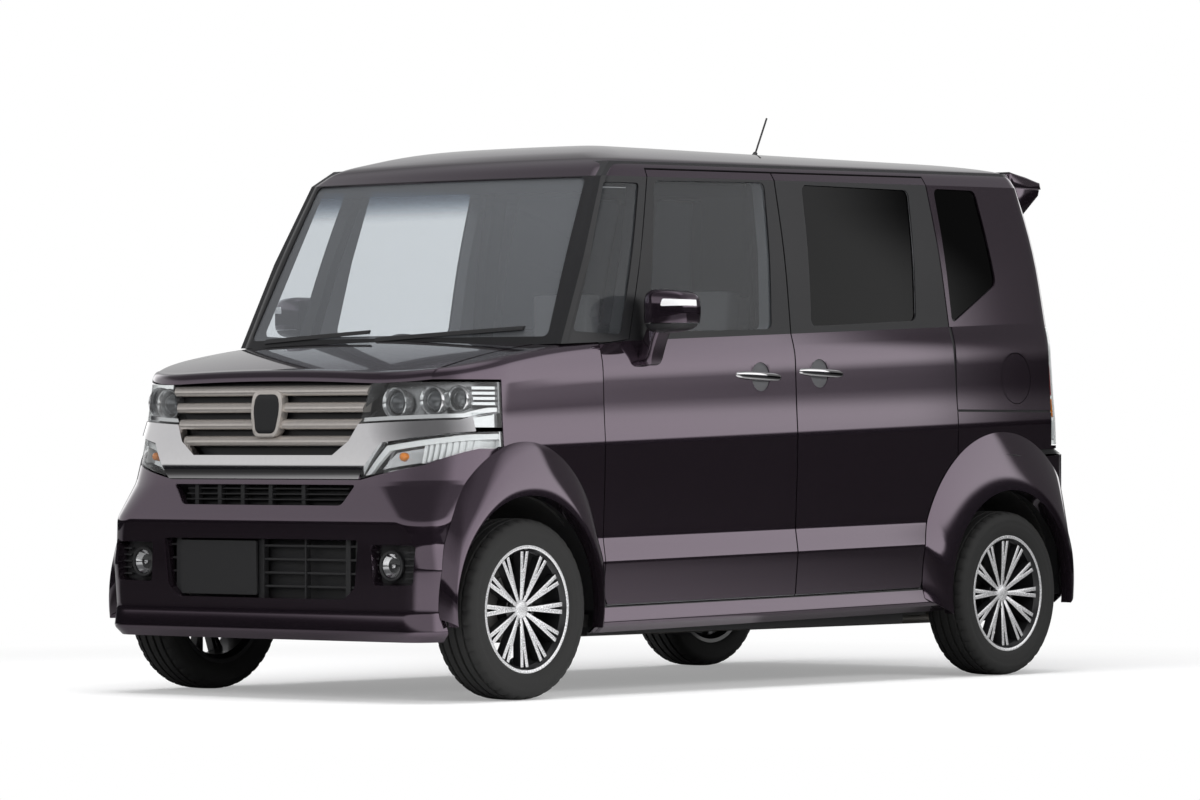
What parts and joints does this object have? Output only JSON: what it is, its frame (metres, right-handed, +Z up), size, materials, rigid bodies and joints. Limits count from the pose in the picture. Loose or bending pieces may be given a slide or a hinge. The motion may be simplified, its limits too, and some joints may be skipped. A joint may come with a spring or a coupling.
{
  "type": "kei car",
  "caption": "Tall, short-nosed box-shaped kei wagon with hinged front doors, lifting bonnet and tailgate, steered front wheels and a fully fitted cabin.",
  "frame": {"origin": "on the ground, midway between the axles and on the car's centre line", "axes": "+X forward, +Y to the car's left, +Z up"},
  "size_m": [3.3944, 1.771, 1.9189],
  "materials": {
    "paint": "deep plum metallic under clear coat",
    "clear_glass": "clear",
    "dark_glass": "dark privacy tint",
    "lamp_lens": "clear lens",
    "tail_lens": "clear and red lens",
    "bright_trim": "bright plated",
    "grille_metal": "dark plated",
    "black_trim": "grained black",
    "under_paint": "satin black primer",
    "cabin_plastic": "grained dark grey",
    "seat_cloth": "dark grey woven cloth",
    "cast_block": "as cast",
    "chassis_black": "chassis black",
    "exhaust_steel": "dull steel",
    "alloy": "machined face",
    "tyre_rubber": "matt black rubber"
  },
  "bodies": {
    "body": {"body_side_left": "paint", "body_side_right": "paint", "roof": "paint", "fender_left": "paint", "fender_right": "paint", "front_bumper": "paint", "rear_bumper": "paint", "slide_door_left": "paint", "slide_door_right": "paint", "windscreen": "clear_glass", "dark_glass": "dark_glass", "head_lamps": "lamp_lens", "fog_lamps": "lamp_lens", "tail_lamps": "tail_lens", "garnish": "bright_trim", "grille": "grille_metal", "inserts": "black_trim", "wipers": "black_trim", "aerial": "black_trim", "handle_slide_left": "bright_trim", "handle_slide_right": "bright_trim", "underbody": "under_paint", "dashboard": "cabin_plastic", "front_seats": "seat_cloth", "rear_seats": "seat_cloth", "powertrain": "cast_block", "front_suspension": "chassis_black", "rear_axle": "chassis_black", "fuel_tank": "black_trim", "exhaust": "exhaust_steel"},
    "bonnet": {"bonnet": "paint"},
    "tailgate": {"tailgate": "paint", "tail_glass": "dark_glass"},
    "fuel_lid": {"fuel_lid": "paint"},
    "front_door_left": {"front_door_left": "paint", "front_glass_left": "clear_glass", "mirror_left": "paint", "handle_front_left": "bright_trim"},
    "front_door_right": {"front_door_right": "paint", "front_glass_right": "clear_glass", "mirror_right": "paint", "handle_front_right": "bright_trim"},
    "steering_wheel": {"steering_wheel": "cabin_plastic"},
    "knuckle_left": {"knuckle_left": "cast_block"},
    "knuckle_right": {"knuckle_right": "cast_block"},
    "wheel_front_left": {"rim_front_left": "alloy", "tyre_front_left": "tyre_rubber"},
    "wheel_front_right": {"rim_front_right": "alloy", "tyre_front_right": "tyre_rubber"},
    "wheel_rear_left": {"rim_rear_left": "alloy", "tyre_rear_left": "tyre_rubber"},
    "wheel_rear_right": {"rim_rear_right": "alloy", "tyre_rear_right": "tyre_rubber"}
  },
  "joints": [
    {"name": "front_door_left_swing", "type": "hinge", "parent": "body", "child": "front_door_left", "pos_m": [0.884, 0.735, 0.7], "axis": [0, 0, -1], "range_deg": [0, 65]},
    {"name": "front_door_right_swing", "type": "hinge", "parent": "body", "child": "front_door_right", "pos_m": [0.884, -0.735, 0.7], "axis": [0, 0, 1], "range_deg": [0, 65]},
    {"name": "bonnet_lift", "type": "hinge", "parent": "body", "child": "bonnet", "pos_m": [1.085, 0, 1.122], "axis": [0, -1, 0], "range_deg": [0, 50]},
    {"name": "tailgate_lift", "type": "hinge", "parent": "body", "child": "tailgate", "pos_m": [-1.491, 0, 1.748], "axis": [0, 1, 0], "range_deg": [0, 85]},
    {"name": "fuel_lid_swing", "type": "hinge", "parent": "body", "child": "fuel_lid", "pos_m": [-1.236, 0.714, 1.018], "axis": [0, 0, -1], "range_deg": [0, 85]},
    {"name": "steer_left", "type": "hinge", "parent": "body", "child": "knuckle_left", "pos_m": [1.26, 0.6125, 0.19], "axis": [0, -0.1824, 0.9832], "range_deg": [-36, 36]},
    {"name": "steer_right", "type": "hinge", "parent": "body", "child": "knuckle_right", "pos_m": [1.26, -0.6125, 0.19], "axis": [0, 0.1824, 0.9832], "range_deg": [-36, 36]},
    {"name": "steering_wheel_turn", "type": "hinge", "parent": "body", "child": "steering_wheel", "pos_m": [0.69, -0.33, 0.93], "axis": [-0.8988, 0, 0.4384], "range_deg": [-576, 576]},
    {"name": "wheel_front_left_roll", "type": "hinge", "parent": "knuckle_left", "child": "wheel_front_left", "pos_m": [1.26, 0.6525, 0.281], "axis": [0, 1, 0], "continuous": true},
    {"name": "wheel_front_right_roll", "type": "hinge", "parent": "knuckle_right", "child": "wheel_front_right", "pos_m": [1.26, -0.6525, 0.281], "axis": [0, 1, 0], "continuous": true},
    {"name": "wheel_rear_left_roll", "type": "hinge", "parent": "body", "child": "wheel_rear_left", "pos_m": [-1.26, 0.6525, 0.281], "axis": [0, 1, 0], "continuous": true},
    {"name": "wheel_rear_right_roll", "type": "hinge", "parent": "body", "child": "wheel_rear_right", "pos_m": [-1.26, -0.6525, 0.281], "axis": [0, 1, 0], "continuous": true}
  ],
  "couplings": [
    {"joint": "steer_right", "follows": "steer_left", "ratio": 1},
    {"joint": "steering_wheel_turn", "follows": "steer_left", "ratio": 16}
  ]
}
